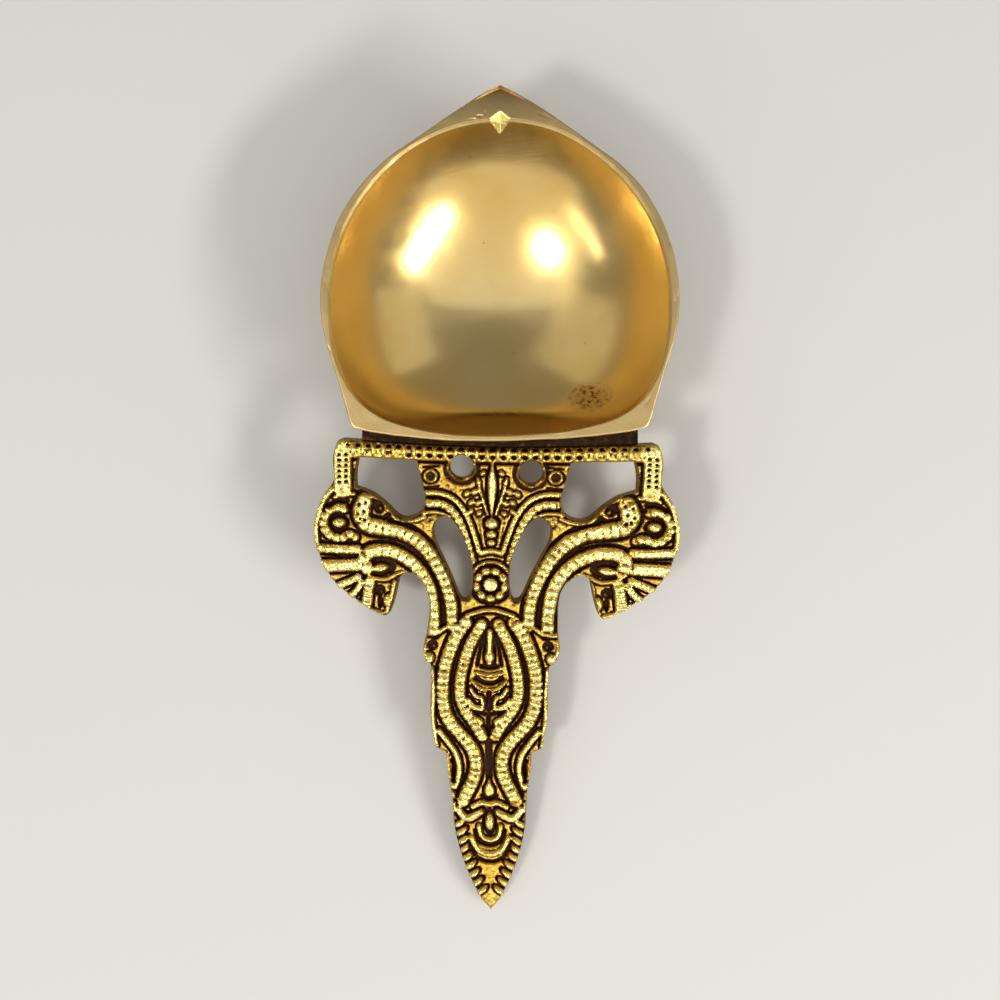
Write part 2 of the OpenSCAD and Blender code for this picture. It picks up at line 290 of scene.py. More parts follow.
def make_bowl():
    angles = np.concatenate([np.arange(-180, 82, 1.0), np.arange(82, 98, 0.3), np.arange(98, 180, 1.0)])
    drop = RIM_Z - UNDERSIDE_Z
    # foot and underside, up to the rim's outer edge
    rings = [ring_points(angles, r + 0 * angles, 0.0) for r in np.linspace(1.0, FOOT_R - 0.3, 8)]
    rings.append(ring_points(angles, FOOT_R + 0 * angles, 0.3))
    rings.append(ring_points(angles, FOOT_R + 0 * angles, FOOT_H - 0.4))
    for t in np.linspace(0.0, 1.0, 60):
        h = drop * math.cos(math.radians(90 * t))
        r = outer_r(angles, h)
        if r.min() > FOOT_R + 0.2 and h > RIM_ROUNDING + 0.1:
            rings.append(ring_points(angles, r, RIM_Z - h))
    # rim: rounded outer edge, filed flat, chamfered inner edge
    edge_out, edge_in = outer_r(angles, 0.0), inner_r(angles, 0.0)
    for turn in (10, 35, 60, 90):
        s, c = math.sin(math.radians(turn)), math.cos(math.radians(turn))
        rings.append(ring_points(angles, edge_out - RIM_ROUNDING * (1 - c), RIM_Z - RIM_ROUNDING * (1 - s)))
    for t in np.linspace(0.04, 1.0, 36):
        flat_r = (edge_out - RIM_ROUNDING) * (1 - t) + (edge_in + RIM_CHAMFER) * t
        rings.append(ring_points(angles, flat_r, RIM_Z))
    for t in (0.35, 0.7, 1.0):
        rings.append(ring_points(angles, edge_in + RIM_CHAMFER * (1 - t), RIM_Z - 0.25 * t ** 1.3))
    for t in np.linspace(0.0, 0.985, 90)[1:]:
        h = 0.25 + (HOLLOW_D - 0.25) * math.sin(math.radians(90 * t))
        rings.append(ring_points(angles, inner_r(angles, h), RIM_Z - h))
    points, faces = lofted(rings, [0, 0, 0], [0, 0, RIM_Z - HOLLOW_D])
    x, y, z = points.T
    # hand finishing: the outline wanders a little and the rim dips towards the point of the lip
    radius = np.hypot(x, y)
    upper = np.clip((z - 14) / 8, 0, 1)
    flat = np.stack([x, y, 0 * z], 1)
    wander = upper * (0.18 * value_noise(flat, 9.0, 4) + 0.05 * value_noise(flat, 2.2, 5))
    scale = 1 + np.where(radius > 20, wander / np.maximum(radius, 1), 0)
    x, y = x * scale, y * scale
    on_rim = z > RIM_Z - 0.45
    z = z - on_rim * (1.7 * np.clip((y - 33.5) / 7.5, 0, 1) ** 1.6 + 0.05 - 0.05 * value_noise(flat, 3.0, 6))
    # small knocks along the rim's edges
    knocks = np.clip(value_noise(flat, 0.7, 7) - 0.55, 0, 1) * np.clip(value_noise(flat, 5.0, 8) + 0.2, 0, 1)
    z = z - 0.5 * on_rim * knocks
    # the wick nick, filed down across the hollow's edge
    nick_start = BOWL_R - RIM_W + LIP_SWELL + NICK_D / NICK_SLOPE - 0.2
    nick_line = RIM_Z - (nick_start - y) * NICK_SLOPE + np.abs(x) / NICK_FLANK
    near_nick = (np.abs(x) < 3) & (y > 26) & (y < nick_start + 0.5) & (z > RIM_Z - 6) & (radius < 37.5)
    uncut = z
    z = np.where(near_nick, np.minimum(z, np.maximum(nick_line, RIM_Z - 3.2)), z)
    h = np.clip(RIM_Z - z, 0, HOLLOW_D)
    stain = np.exp(-(((x - 17.6) / 3.6) ** 2 + ((y + 18.0) / 2.6) ** 2) ** 2)
    # painted shade, speckled, darkens the crease where the round hollow meets its back wall, and more faintly
    # the back wall past it
    round_r = cap_r(BOWL_R - RIM_W, HOLLOW_D, h)
    crease = BACK_REACH - BACK_RIM_W - h * math.tan(math.radians(BACK_LEAN))
    edge = np.hypot(round_r * 0.999 - radius * scale, (y + crease) * 1.2)
    in_hollow = (radius < BOWL_R - RIM_W + 2) & (z > RIM_Z - HOLLOW_D - 0.1) & (z < RIM_Z - 0.3)
    past_crease = np.clip((-crease + 0.4 - y) / 0.8, 0, 1) * np.clip(1 - np.abs(x) / 26, 0, 1) ** 0.5
    painted_crease_shade = np.maximum(np.exp(-(edge / 0.75) ** 2), 0.45 * past_crease) * in_hollow
    rim = (z > RIM_Z - 2.2) & (radius > np.interp(np.degrees(np.arctan2(y, x)), angles, edge_in) * 0.995)
    # painted shade and dark reflection, growing towards the point of the lip
    painted_lip_shade = 0.85 * rim * np.clip((y - 34.5) / 6, 0, 1) ** 2
    notch = uncut - z > 0.05
    return piece("oil_bowl", np.stack([x, y, z], 1), faces, felt_polished_brass(), 32,
                 {"depth": (RIM_Z - z) / HOLLOW_D, "stain": stain, "painted_crease_shade": painted_crease_shade, "rim": rim, "painted_lip_shade": painted_lip_shade,
                  "notch": notch})


oil_bowl = make_bowl()
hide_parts("bowl")


# ---- Brazed joint ------------------------------------------------------------------------------------
# Brazing brass run between the bowl's flat back and the handle's bar. It sits below both castings and
# was never cleaned, so it is brown and dull, and its near-black is painted shade of its narrow groove.
def oxidised_and_shaded_brazing_brass():
    """Brass filler as it froze: brown with oxide and flux, lumpy, hardly any shine; the near-black is painted
    shade of its groove.
    """
    material, shader, where = finish("oxidised_and_shaded_brazing_brass", 0.8)
    lump = add_node(material, "TexNoise", {"Scale": 1 / (1.6 * MM), "Detail": 4.0, "Vector": where})
    # oxide brown, darkened to near black with painted shade of the groove
    tone = add_node(material, "ValToRGB", {"Fac": lump, "stops": [
        (0.35, "#140903"), (0.6, "#2E1A0A"), (0.8, "#6E4A1E")]})
    material.node_tree.links.new(tone, shader.inputs["Base Color"])
    shader.inputs["Roughness"].default_value = 0.55
    bump = add_node(material, "Bump", {"Strength": 0.8, "Distance": 0.25 * MM, "Height": lump})
    material.node_tree.links.new(bump, shader.inputs["Normal"])
    return material


for slot in frame["nodes"]["braze_seam"].material_slots:
    slot.material = oxidised_and_shaded_brazing_brass()


# ---- Handle ------------------------------------------------------------------------------------------
# A thin pierced plate, sand-cast in brass from a carved pattern: beaded straps, eye scrolls, a palmette
# with a boss, and a leaf-shaped tail. Its back is flat. The relief is wire-brushed bright on top and
# keeps its dark antique patina in the hollows, deepened there with painted shade. Two holes were drilled by
# hand through the palmette.
HANDLE_SLOPE = math.radians(9)
HANDLE_LEAN = math.radians(0.95)
HANDLE_SHIFT = -0.3
JOINT_Y = -27.5
TAIL_LEN = 95.2
CAST_DRIFT = -1.1
OUTLINE_SHARE = 0.4
TAIL_SHARE = 1.1
FLOOR = 2.2
MIDDLE = 3.1
TOP = 4.0
DRAFT = 0.3
CELL = 0.1
MESH_STEP = 0.2

outward = np.array([0.0, -math.sin(HANDLE_SLOPE), math.cos(HANDLE_SLOPE)])
uphill = np.array([0.0, math.cos(HANDLE_SLOPE), math.sin(HANDLE_SLOPE)])
across = np.array([1.0, 0.0, 0.0]) * math.cos(HANDLE_LEAN) - uphill * math.sin(HANDLE_LEAN)
uphill = np.cross(outward, across)
handle_origin = np.array([HANDLE_SHIFT, JOINT_Y, TAIL_LEN * math.sin(HANDLE_SLOPE)])
drilled_holes = []
for mount in frame["record"]["mounts"]:
    if mount["kind"] == "bore":
        from_joint = np.array(mount["pos_m"]) / MM - handle_origin
        drilled_holes.append((from_joint @ across, -from_joint @ uphill, mount["dims"]["r_mm"]))


def drift(u, v):
    """How far the casting's middle lies to one side of its straight centre line."""
    return CAST_DRIFT * np.clip(1 - (u / 30) ** 2, 0, 1) * np.clip((TAIL_LEN - v) / 40, 0, 1)


def smooth_line(points, parts=8, closed=False):
    """Catmull-Rom curve through points given as [across, along]."""
    p = np.asarray(points, float)
    p = np.vstack([p[-1], p, p[:2]]) if closed else np.vstack([p[0], p, p[-1]])
    line = []
    for i in range(1, len(p) - 2):
        for t in np.arange(parts) / parts:
            line.append(0.5 * (2 * p[i] + (p[i + 1] - p[i - 1]) * t
                               + (2 * p[i - 1] - 5 * p[i] + 4 * p[i + 1] - p[i + 2]) * t * t
                               + (3 * p[i] - p[i - 1] - 3 * p[i + 1] + p[i + 2]) * t ** 3))
    if not closed:
        line.append(p[-2])
    return np.array(line)


def joined(*runs):
    """Smooth runs that meet at corners."""
    return np.vstack([smooth_line(run, 3)[:-1] for run in runs] + [np.array(runs[-1][-1:], float)])


def mirrored(points):
    return np.asarray(points, float)[::-1] * [-1, 1]


grid_u = np.arange(-37, 37 + CELL, CELL)
grid_v = np.arange(-3, 98 + CELL, CELL)
cast_u, cast_v = np.meshgrid(grid_u, grid_v)
ideal_u = cast_u - drift(cast_u, cast_v)
# the relief is the higher of the ground, with its channels, and what stands on it, less what is sunk
ground = np.full(cast_u.shape, MIDDLE)
raised = np.zeros(cast_u.shape)
sunk = np.zeros(cast_u.shape)


def around(points, reach):
    """The part of the grid near some points."""
    low, high = np.min(points, 0) - reach - 2, np.max(points, 0) + reach + 2
    columns = slice(*np.searchsorted(grid_u, [low[0], high[0]]))
    rows = slice(*np.searchsorted(grid_v, [low[1], high[1]]))
    return rows, columns


def nearest(u, v, line):
    """Distance to a line, and how far along it the nearest point lies."""
    distance, travelled, start = np.full(u.shape, 1e9), np.zeros(u.shape), 0.0
    for a, b in zip(line[:-1], line[1:]):
        step = b - a
        length = max(np.hypot(*step), 1e-9)
        t = np.clip(((u - a[0]) * step[0] + (v - a[1]) * step[1]) / length ** 2, 0, 1)
        d = np.hypot(u - a[0] - t * step[0], v - a[1] - t * step[1])
        closer = d < distance
        distance = np.where(closer, d, distance)
        travelled = np.where(closer, start + t * length, travelled)
        start += length
    return distance, travelled


def dome(q, power=2.0):
    return np.clip(1 - np.abs(q) ** power, 0, 1) ** 0.5


def both(points):
    """The same points on the right side and on the left; once only if they lie on the centre line."""
    points = np.atleast_2d(np.asarray(points, float))
    symmetric = np.allclose(points[::-1] * [-1, 1], points)
    return (points,) if symmetric or not points[:, 0].any() else (points, points * [-1, 1])


def channel(here, beyond):
    """Cuts the ground down where the distance beyond an edge is small."""
    ground[here] = np.minimum(ground[here], MIDDLE - (MIDDLE - FLOOR) * np.clip(-beyond / 0.15, 0, 1))


def ridge(points, width, top=3.75, moat=0.45, power=3.0):
    """A smooth raised line between two channels."""
    for side in both(points):
        line = smooth_line(side)
        here = around(line, width)
        d, _ = nearest(ideal_u[here], cast_v[here], line)
        channel(here, d - width / 2 - moat)
        raised[here] = np.maximum(raised[here], np.where(
            2 * d < width, FLOOR + (top - FLOOR) * dome(2 * d / width, power), 0))


def beads(points, width, pitch, top=TOP, strap=0.55, moat=0.45, power=3.4, swell=0.0):
    """A raised strap that carries a row of beads, cut apart across it, between two channels."""
    for phase, side in zip((0.0, 0.37), both(points)):
        line = smooth_line(side)
        length = np.sum(np.hypot(*np.diff(line, axis=0).T))
        here = around(line, width)
        d, s = nearest(ideal_u[here], cast_v[here], line)
        wide = width * (1 + swell * np.cos(math.pi * s / length))
        channel(here, d - wide / 2 - moat)
        place = s / length * max(1, round(length / pitch)) + phase
        uneven = 1 + 0.16 * np.sin(3.1 * np.floor(place) + 7 * phase)
        q, f = 2 * d / wide, 2 * (place % 1) - 1
        bead = np.clip(1 - np.abs(q / 0.94) ** power - np.abs(f) ** power, 0, 1) ** 0.5
        height = strap * dome(q, 5) + (1 - strap) * bead * uneven
        level = FLOOR + (top - FLOOR) * np.clip(height, 0, 1.05)
        raised[here] = np.maximum(raised[here], np.where(q < 1, level, 0))


def ellipse(here, centre, ru, rv, turn):
    """Distance from a centre, as a share of the ellipse's own radius there."""
    c, s = math.cos(math.radians(turn)), math.sin(math.radians(turn))
    x, y = ideal_u[here] - centre[0], cast_v[here] - centre[1]
    return np.hypot((x * c + y * s) / ru, (y * c - x * s) / rv)


def pearl(centre, ru, rv=None, top=TOP, moat=0.4, turn=0.0, power=3.0):
    """A round or oval boss with a channel round it."""
    rv = rv or ru
    for sign, side in zip((1, -1), both(centre)):
        here = around(side, max(ru, rv))
        q = ellipse(here, side[0], ru, rv, sign * turn)
        channel(here, (q - 1) * min(ru, rv) - moat)
        raised[here] = np.maximum(raised[here], np.where(q < 1, FLOOR + (top - FLOOR) * dome(q, power), 0))


def pit(centre, ru, rv=None, depth=1.5, turn=0.0, curl=0.0):
    """A sunk hollow, with the end of a curl left standing in its outer part if one is asked for."""
    rv = rv or ru
    for sign, side in zip((1, -1), both(centre)):
        here = around(side, max(ru, rv))
        q = ellipse(here, side[0], ru, rv, sign * turn)
        cut = np.clip(1.6 * (1 - q ** 3), 0, 1)
        if curl:
            q = ellipse(here, side[0] + [-sign * curl * ru, 0.3 * rv], 0.55 * ru, 0.6 * rv, sign * turn)
            cut = cut * (1 - 0.7 * dome(q))
        sunk[here] = np.maximum(sunk[here], depth * cut)


def groove(points, width, depth=1.5):
    """A sunk line."""
    for side in both(points):
        line = smooth_line(side)
        here = around(line, width)
        d, _ = nearest(ideal_u[here], cast_v[here], line)
        sunk[here] = np.maximum(sunk[here], depth * np.clip(1.6 * (1 - (2 * d / width) ** 2), 0, 1))


def bar_and_posts():
    """The bar that was brazed on: teardrops between punched notches, and a ladder down each post."""
    ridge([[-29.6, 1.0], [-20, 1.2], [-10, 1.35], [0, 1.45], [10, 1.35], [20, 1.2], [29.6, 1.0]], 3.5, 3.45,
          power=9)
    for i in range(-14, 15):
        far = abs(i) / 14
        u, v, size = 2.05 * i, 0.65 - 0.6 * far ** 1.6, 1 - 0.3 * far
        here = around(np.array([[u, v]]), 1)
        y = cast_v[here] - v
        # a notch, wider towards the bowl
        cut = np.minimum((0.55 - 0.3 * y) * size - np.abs(ideal_u[here] - u), 0.34 * size - np.abs(y)) / 0.14
        sunk[here] = np.maximum(sunk[here], 1.4 * np.clip(cut, 0, 1))
        q = ellipse(here, [u + 1.02, v + 0.85], 0.46, 1.2, 0)
        raised[here] = np.maximum(raised[here], np.where(q < 1, 3.3 + 0.9 * dome(q), 0))
        if abs(i) < 9:
            q = ellipse(here, [u, v + 1.5], 0.45, 0.4, 0)
            sunk[here] = np.maximum(sunk[here], 0.8 * np.clip(1.6 * (1 - q ** 3), 0, 1))
    ridge([[29.9, 0.2], [29.9, 4], [29.8, 8.6]], 3.9, 3.85, moat=0.2, power=9)
    for v in np.arange(1.9, 8.2, 1.05):
        pit([29.1, v], 0.42, 0.24, 0.8)
        pit([30.5, v + 0.1], 0.42, 0.24, 0.8)
    groove([[31.5, 0.9], [31.6, 4], [31.4, 8]], 0.25, 0.3)


def eye_scrolls():
    """On each wing: a beaded ring around a pearl, inside a smooth rim, above a fan of cut ribs."""
    centre = np.array([30.6, 15.3])
    ridge([[32.2, 8.8], [34.1, 11.8], [35.2, 16], [34.9, 20.0]], 1.6, 3.8, moat=0.2)
    ring = [centre + 3.0 * np.array([math.cos(math.radians(a)), math.sin(math.radians(a))])
            for a in range(-110, 151, 30)]
    beads(ring + [[27.4, 18.1]], 2.1, 1.35, strap=0.5, moat=0.3)
    pearl(centre, 1.45, 1.1, moat=0.55)
    ridge([[27.6, 9.6], [29.4, 9.7], [31.4, 10.3]], 1.1, 3.6, moat=0.3)
    groove([[28.9, 11], [30.6, 10.9], [32.6, 12]], 0.9, 1.4)
    beads([[26.9, 20.5], [30, 20.5], [34.8, 20.3]], 2.2, 0.95, strap=0.7, moat=0.35)
    beads([[26.9, 23.6], [30, 23.7], [33.8, 23.9]], 2.9, 0.9, strap=0.75, moat=0.3)
    beads([[26.6, 25.9], [28.7, 26.9], [31.3, 28]], 1.8, 0.9, strap=0.8, moat=0.25)
    beads([[26, 27], [27.2, 28.8], [28.7, 30]], 1.7, 0.9, strap=0.8, moat=0.25)
    beads([[24.3, 26.8], [24.7, 29.4], [25, 32]], 2.6, 1.0, strap=0.75, moat=0.25)
    ridge([[26.6, 31], [24, 32.6], [21.8, 33.3]], 1.4, 3.7, moat=0.1)
    ridge([[19.2, 26.9], [19.9, 30.2], [20.8, 32.8]], 1.2, 3.6, moat=0.1)
    pearl([20.6, 30.6], 1.0, 1.5, top=3.9, turn=-12, moat=0.2)
    pit([22.3, 28.6], 1.25, 1.15, 1.9, curl=0.3)
    pit([22.2, 30.9], 0.5, 1.4, 1.7)
    pit([28.6, 12.1], 0.5, 0.4, 1.0, 30)


def wing_straps():
    """Two beaded straps sweep from scrolls on each wing, side by side, down into the tail."""
    upper = [[25.4, 11], [26.3, 13.2], [25, 15.4], [22.3, 16.1], [20, 16.4], [17.8, 16.9], [15.8, 17.9],
             [14.1, 19.1], [12.5, 20.7], [11.2, 22.5], [10, 24.6], [9, 26.8], [8.2, 29.2], [7.7, 31.8],
             [7.5, 35.4]]
    lower = [[24.9, 24.2], [25.5, 22.4], [24.3, 21], [22, 20.6], [20, 20.8], [18, 21.5], [16.1, 22.6],
             [14.4, 24.1], [13, 26], [12, 28.2], [11.5, 30.6], [11.2, 33.4], [11.2, 36.4]]
    beads(upper, 3.2, 1.5, strap=0.62, swell=0.15, moat=0.55)
    beads(lower, 2.9, 1.75, strap=0.65, power=4, swell=0.05, moat=0.55)
    pearl([25.9, 12.7], 1.9, 2.5, 3.95, moat=0.3, power=5)
    for place in ((25.1, 11.2), (26.5, 11.6), (25.5, 12.9), (26.8, 13.4), (25.3, 14.6), (26.2, 14.4)):
        pit(place, 0.3, 0.3, 0.8)
    ridge([[24.2, 9.7], [22, 11], [20.4, 12.9], [18.4, 14.6], [15.4, 14.7], [13.2, 13.9]], 1.0, 3.6, moat=0.1)
    pit([22.5, 12.1], 1.15, 1.45, 1.7, 20, curl=0.3)
    pit([20.9, 13.9], 1.1, 0.5, 1.4, 40)
    groove([[20.4, 14.8], [17.6, 15.4], [14.8, 16.5]], 0.7, 1.3)
    pearl([22.2, 24.1], 1.9, 0.95, moat=0.75, turn=6)
    ridge([[25.2, 24.9], [23.6, 26.1], [21, 26.4], [18.9, 25.4]], 1.0, 3.5, moat=0.2)
    ridge([[18.8, 25.3], [16.8, 24.9], [15.3, 26.2]], 0.9, 3.3, moat=0.1)


def palmette():
    """Between the slots: a smooth beak, leaves on both sides, beaded ribs, and the boss with its ring."""
    beak = [(4.2, 0.8), (6.2, 1.9), (8, 2.1), (9.6, 1.7), (11.2, 1.2), (13.4, 0.4)]
    for v in np.arange(3.2, 13.6, 0.3):
        wide = np.interp(v, [b[0] for b in beak], [b[1] for b in beak])
        ridge([[0, v], [0, v + 0.4]], wide, 4.0, moat=0.3, power=3)
    ridge([[2.8, 6.2], [2.2, 8.8], [1.5, 11], [0.8, 13.2]], 0.8, 3.75, moat=0.2)
    for u, v, r in ((3.3, 8.8, 1.0), (2.6, 11.0, 0.9), (4.0, 10.9, 0.9), (2.4, 13.0, 0.8), (4.9, 9.2, 0.9),
                    (1.8, 5.2, 0.8), (4.1, 12.7, 0.8), (2.6, 7, 0.7)):
        pearl([u, v], r, r * 0.75, 3.7, turn=35, moat=0.15)
    beads([[12.9, 9.2], [10.3, 9.2], [7.9, 10], [6.1, 11.6], [4.8, 13.6], [3.8, 16], [3, 18.4], [2.4, 20.4]],
          1.3, 1.0, top=3.8, strap=0.8, moat=0.3)
    beads([[12.4, 11.2], [9.8, 11.3], [7.7, 12.6], [6.3, 14.6], [5.2, 17.2], [4.4, 19.8], [3.7, 22.4]],
          2.0, 1.5, moat=0.3)
    ridge([[13.6, 13.2], [11.8, 12.9], [9.8, 13.1], [8.2, 13.8]], 0.9, 3.5, moat=0.1)
    pearl([12.1, 5.9], 1.6, 1.5, 3.75, moat=0.2)
    pit([12.1, 5.9], 1.05, 1.0, 1.0)
    for v in (3.9, 7.9):
        groove([[10.4, v], [13.5, v + 0.3]], 0.35, 0.8)
    pearl([0, 15], 1.45, 1.25)
    pearl([0, 17.1], 1.2, 0.95, 3.9, moat=0.2)
    pearl([0, 18.8], 1.0, 0.8, 3.8, moat=0.2)
    ridge([[2.1, 14.2], [1.8, 16.6], [1.4, 19]], 0.6, 3.5, moat=0.1)
    ridge([[-2, 20.9], [0, 20.4], [2, 20.9]], 1.4, 3.6, moat=0.2)
    ridge([[-3.6, 24.9], [-2.2, 23.2], [0, 22.6], [2.2, 23.2], [3.6, 24.9]], 0.8, 3.8, moat=0.3)
    ring = [[2.75 * math.sin(math.radians(a)), 27.1 - 2.75 * math.cos(math.radians(a))]
            for a in range(0, 361, 20)]
    beads(ring, 1.8, 1.9, strap=0.3, moat=0.6, power=2.6)
    pearl([0, 27.1], 1.6, 1.5, 4.1, moat=0.3, power=6)


def tail_ovals():
    """The wide part of the tail: two beaded ovals, one inside the other, around a bud with its leaves."""
    outer = [[4.8, 34.8], [6.2, 36.7], [7.2, 38.8], [8.1, 41.2], [8.8, 43.6], [9.2, 46.2], [9.3, 48.7],
             [9.2, 51], [8.6, 53.4], [7.6, 55.4], [6.1, 57.2], [4.5, 59], [3.2, 61], [2.6, 63.2], [2.7, 65.4],
             [3.5, 67.8], [4.6, 70], [5.3, 71.6]]
    inner = [[1.7, 35.2], [2.6, 36.8], [3.6, 38.7], [4.5, 41], [5.1, 43.2], [5.6, 45.6], [5.8, 48], [5.7, 50],
             [5.1, 51.8], [4.2, 53.4], [3.1, 55], [2.1, 56.6], [1.3, 58]]
    beads(outer, 3.0, 1.4, strap=0.62, moat=0.45)
    beads(inner, 2.6, 1.3, strap=0.62, moat=0.45)
    ridge([[11.5, 44.4], [11.25, 49], [11.3, 54], [10.6, 60.2]], 1.3, 3.85, moat=0.2)
    ridge([[13, 37.2], [10.6, 37], [9, 36]], 1.1, 3.7, moat=0.3)
    ridge([[-4.6, 33.4], [-2, 32.5], [0, 32.2], [2, 32.5], [4.6, 33.4]], 1.1, 3.7, moat=0.4)
    pearl([12.1, 42], 1.2, 1.3, 3.95, moat=0.2)
    ridge([[13.2, 38.4], [13.3, 40], [12.9, 41.4]], 0.9, 3.8, moat=0)
    pit([11.4, 39.5], 1.1, 1.1, 1.8, curl=0.3)
    pit([10.9, 38], 0.9, 0.4, 1.4, 20)
    # the bud, with dark hollows on both sides, and the bars below it
    ridge([[0, 36.6], [0, 40], [0, 42.8]], 1.5, 3.8, moat=0.6, power=2)
    pearl([0, 41.7], 1.1, 1.4, 4.0, moat=0.3)
    groove([[1.5, 38.4], [2, 41], [2.4, 43.4]], 0.8, 1.2)
    groove([[-1.6, 43.7], [0, 44], [1.6, 43.7]], 0.9, 1.5)
    ridge([[-2.4, 45], [0, 45.4], [2.4, 45]], 0.9, 3.9, moat=0.1)
    groove([[-2.5, 46.1], [-1.2, 47], [0, 47.2], [1.2, 47], [2.5, 46.1]], 0.9, 1.5)
    ridge([[-3.4, 46.6], [-2, 48], [0, 48.6], [2, 48], [3.4, 46.6]], 0.8, 3.9, moat=0.15)
    # leaves either side of a dark stem
    ridge([[3.6, 48.3], [2.6, 49.7], [1.5, 50.1], [1.1, 51.4]], 1.0, 3.9, moat=0.3)
    ridge([[4.2, 50.7], [2.9, 52], [1.4, 52.2]], 1.5, 3.8, moat=0.3)
    ridge([[2.1, 56], [1.4, 55], [2.6, 54.2]], 1.0, 3.7, moat=0.25)
    groove([[0, 48.9], [0, 51], [0, 52.8]], 1.0, 1.5)
    groove([[-2.7, 53], [0, 53.6], [2.7, 53]], 0.8, 1.4)
    groove([[0, 53.8], [0, 56], [0, 57.6]], 0.9, 1.5)
    groove([[0, 59.4], [0, 63], [0, 66.4]], 1.5, 1.5)


def tail_leaf():
    """The narrow part of the tail: side scrolls, a wavy bar, nested drops and a fluted leaf tip."""
    ridge([[10, 57], [8.3, 59.2], [6.7, 61.6], [6, 64.2], [6.2, 66.6], [6.9, 68.6]], 1.4, 3.9, moat=0.35)
    ridge([[8.6, 62.2], [8.3, 64.6], [7.9, 67.2], [7.4, 70], [7.2, 73.6]], 1.2, 3.8, moat=0.1)
    groove([[7.4, 63], [7.1, 64.6], [7.3, 66.2]], 0.6, 1.4)
    for v in (67.4, 69.4, 71.4):
        pit([7.2, v], 0.7, 0.28, 1.0, -25)
    for v, wide in ((67.2, 0.6), (67.9, 1.0), (68.6, 1.6), (69.3, 2.3)):
        ridge([[0, v], [0, v + 0.4]], wide, 3.8, moat=0.35)
    groove([[-1.5, 70.6], [0, 71], [1.5, 70.6]], 0.7, 1.4)
    ridge([[-3.4, 72.9], [-1.6, 72], [0, 72.3], [1.6, 72], [3.4, 72.9]], 1.3, 3.8, moat=0.3)
    for push, top in ((0, 4.0), (0.35, 3.9)):
        ridge([[6.3, 73.2 + push], [5.2, 74.8 + push], [3.9, 75 + push], [2.6, 74.3 + push], [1.7, 73.9]],
              1.5, top)
    pearl([0, 76.1], 1.0, 2.0, 4.0, moat=0.5)
    ridge([[-2.2, 77], [-1.7, 79], [0, 79.9], [1.7, 79], [2.2, 77]], 1.2, 3.8, moat=0.2)
    groove([[-3, 78], [-2.1, 80.3], [0, 81.2], [2.1, 80.3], [3, 78]], 0.85, 1.4)
    ridge([[-3.7, 79.4], [-2.4, 82], [0, 82.9], [2.4, 82], [3.7, 79.4]], 1.4, 3.8, moat=0.1)
    groove([[-4, 81.2], [-2.6, 83.8], [0, 84.7], [2.6, 83.8], [4, 81.2]], 0.85, 1.4)
    for i in range(9):
        v = 76.4 + 1.8 * i
        half = np.interp(v, [76, 83, 88, 93.6], [7.4, 6.1, 4.4, 1.7])
        pearl([half - 1.3, v], 1.5, 0.72, 3.9, moat=0.28, turn=40)


def hole_rims():
    """Ragged raised edge left by the drill, in a patch of ground sunk round the hole, which the colour by
    height makes dark.
    """
    for u, v, hole_r in drilled_holes:
        here = around(np.array([[u, v]]), hole_r + 1)
        r = np.hypot(cast_u[here] - u, cast_v[here] - v)
        wobble = 0.12 * np.sin(5 * np.arctan2(cast_v[here] - v, cast_u[here] - u) + u)
        ground[here] -= 0.5 * np.clip((hole_r + 1.5 - r) / 0.4, 0, 1)
        lip = np.exp(-((r - hole_r - 0.3 - wobble) / 0.3) ** 2)
        raised[here] = np.maximum(raised[here], FLOOR + 1.35 * lip)


bar_and_posts()
wing_straps()
eye_scrolls()
palmette()
tail_ovals()
tail_leaf()
hole_rims()


def blurred(field, reach):
    """Box blur, twice, with a reach in millimetres."""
    n = max(1, round(reach / CELL))
    for _ in range(2):
        for axis in (0, 1):
            pad = [(n + 1, n) if k == axis else (0, 0) for k in (0, 1)]
            total = np.cumsum(np.pad(field, pad, mode="edge"), axis)
            size = field.shape[axis]
            field = (np.take(total, range(2 * n + 1, size + 2 * n + 1), axis)
                     - np.take(total, range(size), axis)) / (2 * n + 1)
    return field


flat_places = np.stack([cast_u.ravel(), cast_v.ravel(), np.zeros(cast_u.size)], 1)
grain = value_noise(flat_places, 0.45, 11) * 0.55 + value_noise(flat_places, 1.1, 12) * 0.45
relief = np.maximum(np.maximum(ground, raised) - sunk, FLOOR - 0.15)
relief = blurred(relief, CELL) + 0.20 * grain.reshape(relief.shape)
hollow = (blurred(relief, 0.6) - relief) / 1.2 + (blurred(relief, 0.3) - relief) / 0.9


def sampled(field, u, v):
    """Value of a grid field at any place, read between its cells."""
    x, y = (u - grid_u[0]) / CELL, (v - grid_v[0]) / CELL
    i, j = np.clip(x.astype(int), 0, len(grid_u) - 2), np.clip(y.astype(int), 0, len(grid_v) - 2)
    fx, fy = x - i, y - j
    return ((field[j, i] * (1 - fx) + field[j, i + 1] * fx) * (1 - fy)
            + (field[j + 1, i] * (1 - fx) + field[j + 1, i + 1] * fx) * fy)


def evenly(loop, step):
    """A closed loop of points, spaced evenly."""
    closed = np.vstack([loop, loop[:1]])
    keep = np.concatenate([[True], np.hypot(*np.diff(closed, axis=0).T) > 1e-6])
    closed = closed[keep]
    way = np.concatenate([[0], np.cumsum(np.hypot(*np.diff(closed, axis=0).T))])
    count = int(way[-1] / step)
    at = np.arange(count) / count * way[-1]
    return np.stack([np.interp(at, way, closed[:, k]) for k in (0, 1)], 1)


def cast_loop(points, share=1.0):
    points = np.asarray(points, float)
    return points + np.stack([share * drift(points[:, 0], points[:, 1]), 0 * points[:, 0]], 1)


